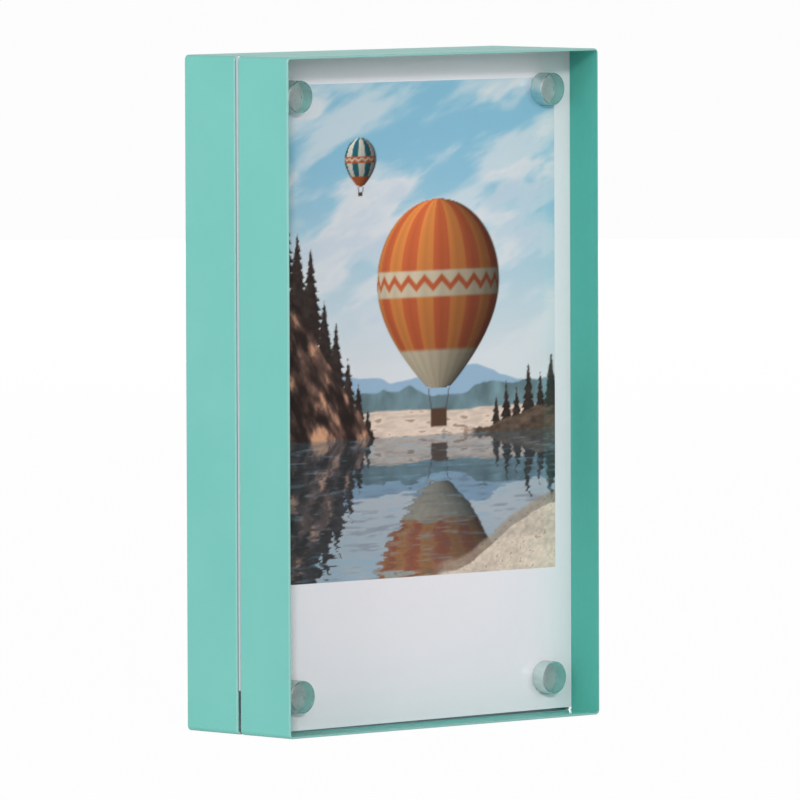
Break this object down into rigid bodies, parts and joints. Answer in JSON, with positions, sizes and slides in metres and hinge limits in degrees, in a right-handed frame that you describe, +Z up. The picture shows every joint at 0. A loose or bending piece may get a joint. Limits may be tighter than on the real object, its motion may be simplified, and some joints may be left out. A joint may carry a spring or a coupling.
{
  "type": "magnetic photo frame",
  "caption": "Free-standing photo block: acrylic slabs with mint lacquer, clear in front, held face to face by disc magnets with a small picture card between them.",
  "frame": {"origin": "on the foot, under the middle of the block, between its two halves", "axes": "+Z up along the block's height, +X to the right seen from the front, +Y through the thickness from the picture side to the back; the front faces -Y"},
  "size_m": [0.054, 0.0194, 0.086],
  "materials": {
    "clear_acrylic": "polished",
    "mint_lacquer": "satin",
    "nickel_plating": "satin",
    "adhesive": "gloss",
    "card_stock": "satin"
  },
  "bodies": {
    "rear_half": {"rear_lacquer": "mint_lacquer", "rear_slab": "clear_acrylic", "rear_magnet_top_left": "nickel_plating", "rear_magnet_top_right": "nickel_plating", "rear_magnet_bottom_left": "nickel_plating", "rear_magnet_bottom_right": "nickel_plating", "rear_glue_top_left": "adhesive", "rear_glue_top_right": "adhesive", "rear_glue_bottom_left": "adhesive", "rear_glue_bottom_right": "adhesive"},
    "front_half": {"front_lacquer": "mint_lacquer", "front_slab": "clear_acrylic", "front_magnet_top_left": "nickel_plating", "front_magnet_top_right": "nickel_plating", "front_magnet_bottom_left": "nickel_plating", "front_magnet_bottom_right": "nickel_plating", "front_glue_top_left": "adhesive", "front_glue_top_right": "adhesive", "front_glue_bottom_left": "adhesive", "front_glue_bottom_right": "adhesive"},
    "print": {"picture_card": "card_stock"}
  },
  "joints": [
    {"name": "front_half_pull_off", "type": "slide", "parent": "rear_half", "child": "front_half", "axis": [0, -1, 0], "range_m": [0, 0.03]},
    {"name": "card_lift_out", "type": "slide", "parent": "rear_half", "child": "print", "axis": [0, 0, 1], "range_m": [0, 0.086]}
  ]
}
